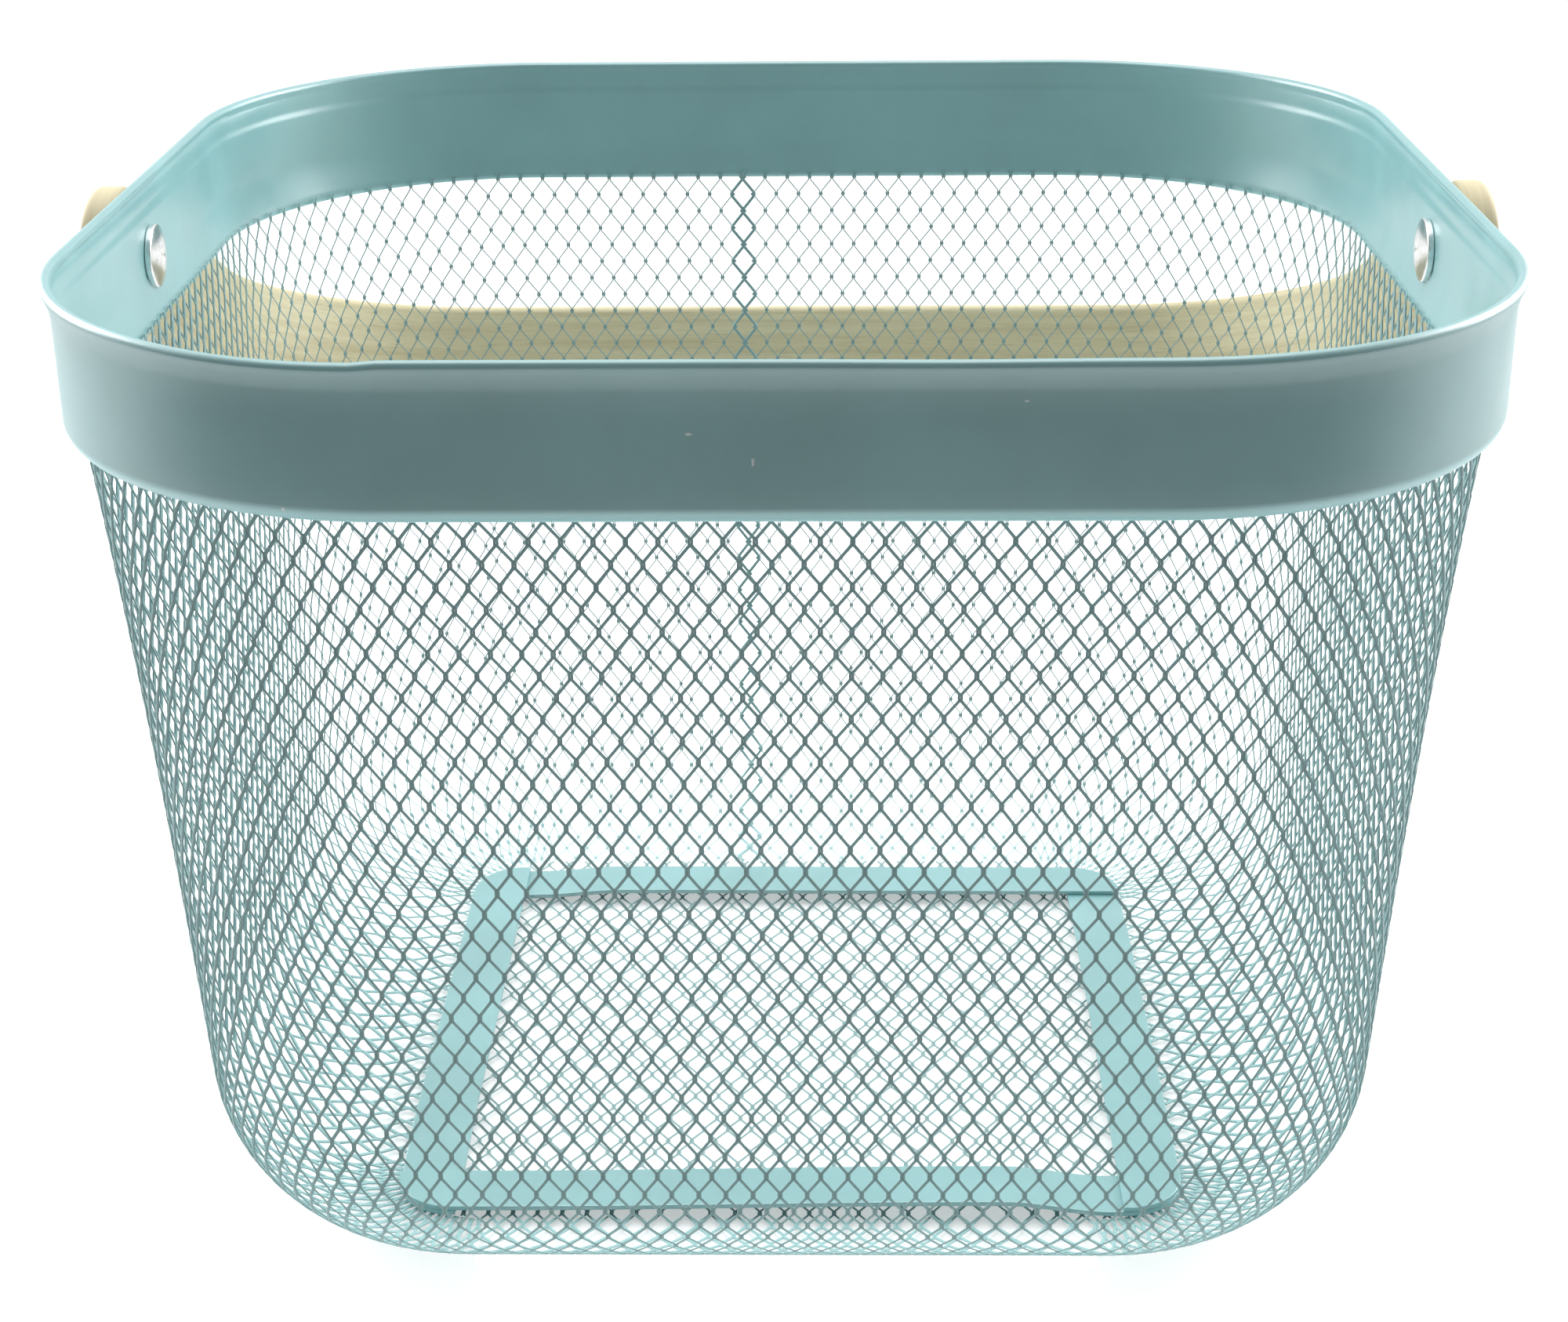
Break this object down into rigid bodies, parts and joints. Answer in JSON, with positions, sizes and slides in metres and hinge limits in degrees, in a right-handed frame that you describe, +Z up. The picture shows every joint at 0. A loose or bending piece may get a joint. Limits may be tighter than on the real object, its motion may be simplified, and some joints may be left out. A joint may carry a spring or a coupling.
{
  "type": "wire produce basket",
  "caption": "Square produce basket of painted expanded mesh with a sheet rim, a strip frame on the floor and a bentwood bow handle that swings on rivets.",
  "frame": {"origin": "centre of the underside of the mesh floor", "axes": "+Z up out of the basket, the rivets of the handle along X, the front at -Y, the handle lying behind the basket at +Y"},
  "size_m": [0.2678, 0.2487, 0.1828],
  "materials": {
    "paint": "satin powder coat",
    "birch": "clear matt lacquer",
    "plated": "polished plating",
    "spacer": "moulded"
  },
  "bodies": {
    "basket": {"rim_band": "paint", "mesh_front": "paint", "mesh_front_right": "paint", "mesh_right": "paint", "mesh_back_right": "paint", "mesh_back": "paint", "mesh_back_left": "paint", "mesh_left": "paint", "mesh_front_left": "paint", "foot_front": "paint", "foot_front_right": "paint", "foot_right": "paint", "foot_back_right": "paint", "foot_back": "paint", "foot_back_left": "paint", "foot_left": "paint", "foot_front_left": "paint", "mesh_floor": "paint", "frame_strip_front": "paint", "frame_strip_back": "paint", "frame_strip_left": "paint", "frame_strip_right": "paint", "rivet_left": "plated", "rivet_right": "plated", "washer_left": "plated", "washer_right": "plated", "spacer_left": "spacer", "spacer_right": "spacer"},
    "handle": {"handle_bow": "birch"}
  },
  "joints": [
    {"name": "handle_swing", "type": "hinge", "parent": "basket", "child": "handle", "pos_m": [0, 0, 0.16825], "axis": [1, 0, 0], "range_deg": [0, 230.7]}
  ]
}
